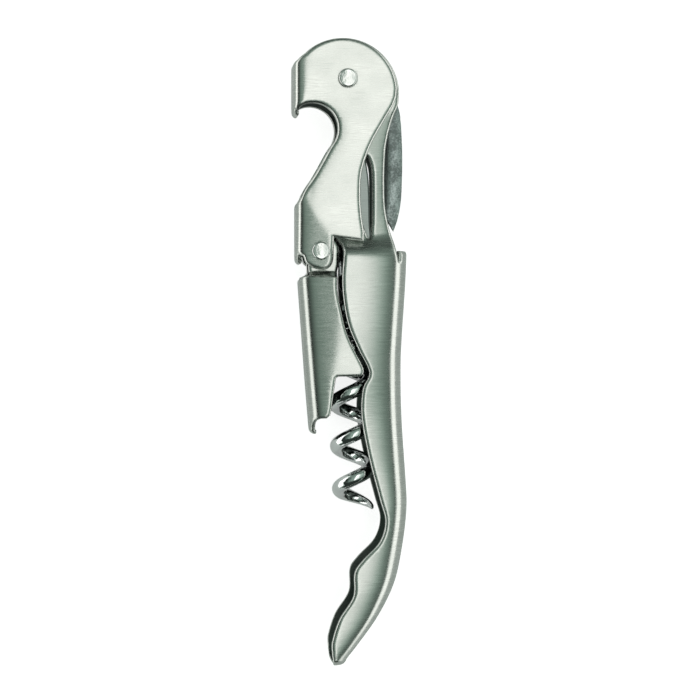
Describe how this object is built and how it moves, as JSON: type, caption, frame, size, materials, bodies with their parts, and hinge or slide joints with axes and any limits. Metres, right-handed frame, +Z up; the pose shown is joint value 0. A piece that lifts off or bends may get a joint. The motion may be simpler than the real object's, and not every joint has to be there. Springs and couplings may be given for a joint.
{
  "type": "lever corkscrew",
  "caption": "Stainless steel lever corkscrew, folded shut: channel handle, hinged lever in steps with cap lifter, foil knife and steel worm.",
  "frame": {"origin": "middle of the object's length and width, on the surface that it lies on", "axes": "+Y along the length, from the handle's tip to the head; +X towards the handle's spine; +Z up through the thickness"},
  "size_m": [0.0216, 0.12, 0.0126],
  "materials": {
    "handle_steel": "satin, brushed across the length",
    "lever_steel": "satin, brushed across the length",
    "lower_lever_steel": "satin, brushed across the length",
    "chrome": "polished",
    "blade_steel": "mottled satin with a polished edge",
    "spring_steel": "satin",
    "rivet_steel": "burnished",
    "pin_steel": "plain"
  },
  "bodies": {
    "handle": {"handle_channel": "handle_steel", "back_spring": "spring_steel", "worm_pin": "pin_steel", "main_rivet": "rivet_steel", "knife_spacer_front": "pin_steel", "knife_spacer_back": "pin_steel"},
    "upper_lever": {"upper_lever": "lever_steel", "lever_rivet": "rivet_steel", "lever_spacer": "pin_steel"},
    "lower_lever": {"lower_lever": "lower_lever_steel"},
    "worm": {"worm": "chrome"},
    "knife": {"knife_blade": "blade_steel"}
  },
  "joints": [
    {"name": "upper_lever_hinge", "type": "hinge", "parent": "handle", "child": "upper_lever", "pos_m": [-0.00063, 0.05218, 0.0063], "axis": [0, 0, -1], "range_deg": [0, 150]},
    {"name": "lower_lever_hinge", "type": "hinge", "parent": "upper_lever", "child": "lower_lever", "pos_m": [-0.00573, 0.01933, 0.0063], "axis": [0, 0, -1], "range_deg": [0, 18]},
    {"name": "worm_hinge", "type": "hinge", "parent": "handle", "child": "worm", "pos_m": [-0.00112, 0.0244, 0.0063], "axis": [0, 0, -1], "range_deg": [0, 90]},
    {"name": "knife_hinge", "type": "hinge", "parent": "handle", "child": "knife", "pos_m": [-0.00063, 0.05218, 0.0063], "axis": [0, 0, 1], "range_deg": [0, 145]}
  ],
  "couplings": [
    {"joint": "worm_hinge", "follows": "upper_lever_hinge", "ratio": 0.6}
  ]
}
